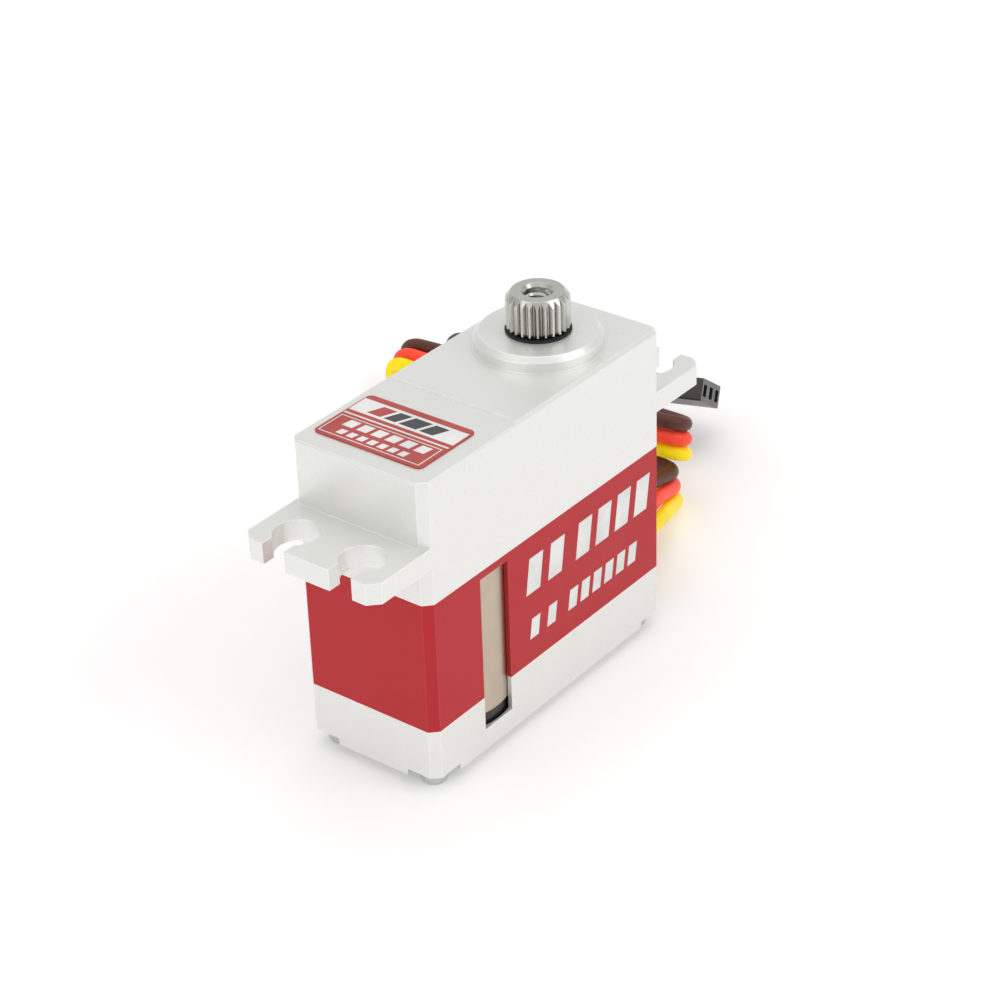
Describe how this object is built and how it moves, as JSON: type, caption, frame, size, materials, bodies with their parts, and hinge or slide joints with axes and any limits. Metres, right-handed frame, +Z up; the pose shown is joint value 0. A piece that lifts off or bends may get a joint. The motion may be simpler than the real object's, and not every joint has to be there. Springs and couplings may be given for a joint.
{
  "type": "mini servo motor",
  "caption": "Metal-cased mini digital servo: three-part aluminium case with ears, 25-tooth splined output, geared coreless motor and folded three-wire lead with plug.",
  "frame": {"origin": "middle of the footprint, on the surface the four case-screw heads stand on", "axes": "+Z up along the output shaft, +X along the case towards the output shaft and the lead"},
  "size_m": [0.078, 0.0528, 0.0378],
  "materials": {
    "anodised_silver": "satin, bead-blasted and clear anodised",
    "anodised_red": "satin, bead-blasted and red anodised",
    "screw_steel": "zinc plated",
    "label": "printed, satin laminate",
    "motor_can": "nickel plated, warm tint",
    "brass": "machined",
    "black_plastic": "moulded, matt",
    "magnet": "nickel plated",
    "copper_winding": "enamelled copper",
    "steel": "machined",
    "gear_metal": "hobbed, oiled",
    "rubber": "matt",
    "bearing_steel": "ground",
    "white_plastic": "moulded",
    "board_green": "solder mask",
    "chip_black": "moulded",
    "capacitor_tan": "moulded",
    "wire_black": "extruded",
    "wire_brown": "extruded, satin",
    "wire_red": "extruded, satin",
    "wire_yellow": "extruded, satin"
  },
  "bodies": {
    "case": {"bearing_balls": "bearing_steel", "bearing_outer_ring": "bearing_steel", "bottom_case": "anodised_silver", "capacitor": "capacitor_tan", "case_screws": "screw_steel", "chip_resistors": "chip_black", "circuit_board": "board_green", "controller_chip": "chip_black", "driver_chips": "chip_black", "gear_pin": "steel", "gear_spacer": "brass", "lead_grommet": "rubber", "lead_tails": "wire_red", "lead_wire_brown": "wire_brown", "lead_wire_red": "wire_red", "lead_wire_yellow": "wire_yellow", "lower_bush": "brass", "middle_case": "anodised_red", "motor_can": "motor_can", "motor_end_bell": "black_plastic", "motor_front_bearing": "brass", "motor_leads": "wire_black", "motor_magnet": "magnet", "motor_screws": "screw_steel", "motor_terminals": "brass", "oscillator": "steel", "pin_spacer": "brass", "plug_contacts": "brass", "plug_housing": "black_plastic", "potentiometer_body": "black_plastic", "potentiometer_pins": "brass", "shaft_seal": "rubber", "top_case": "anodised_silver", "top_label": "label"},
    "rotor": {"motor_shaft": "steel", "rotor_coil": "copper_winding", "motor_pinion": "brass"},
    "gear_1": {"gear_1": "gear_metal"},
    "gear_2": {"gear_2": "gear_metal"},
    "gear_3": {"gear_3": "gear_metal"},
    "output": {"output_shaft": "steel", "bearing_inner_ring": "bearing_steel", "potentiometer_rotor": "white_plastic"}
  },
  "joints": [
    {"name": "motor_spin", "type": "hinge", "parent": "case", "child": "rotor", "pos_m": [-0.00825, 0, 0.0215], "axis": [0, 0, 1], "range_deg": [-7590, 7590]},
    {"name": "gear_1_spin", "type": "hinge", "parent": "case", "child": "gear_1", "pos_m": [0.00075, 0, 0.0225], "axis": [0, 0, 1], "range_deg": [-3400, 3400]},
    {"name": "gear_2_spin", "type": "hinge", "parent": "case", "child": "gear_2", "pos_m": [0.0087, 0, 0.024], "axis": [0, 0, 1], "range_deg": [-890, 890]},
    {"name": "gear_3_spin", "type": "hinge", "parent": "case", "child": "gear_3", "pos_m": [0.00075, 0, 0.027], "axis": [0, 0, 1], "range_deg": [-235, 235]},
    {"name": "output_turn", "type": "hinge", "parent": "case", "child": "output", "pos_m": [0.0087, 0, 0.032], "axis": [0, 0, 1], "range_deg": [-60, 60]}
  ],
  "couplings": [
    {"joint": "gear_1_spin", "follows": "motor_spin", "ratio": -0.44},
    {"joint": "gear_2_spin", "follows": "motor_spin", "ratio": 0.11524},
    {"joint": "gear_3_spin", "follows": "motor_spin", "ratio": -0.030181},
    {"joint": "output_turn", "follows": "motor_spin", "ratio": 0.0079047}
  ]
}
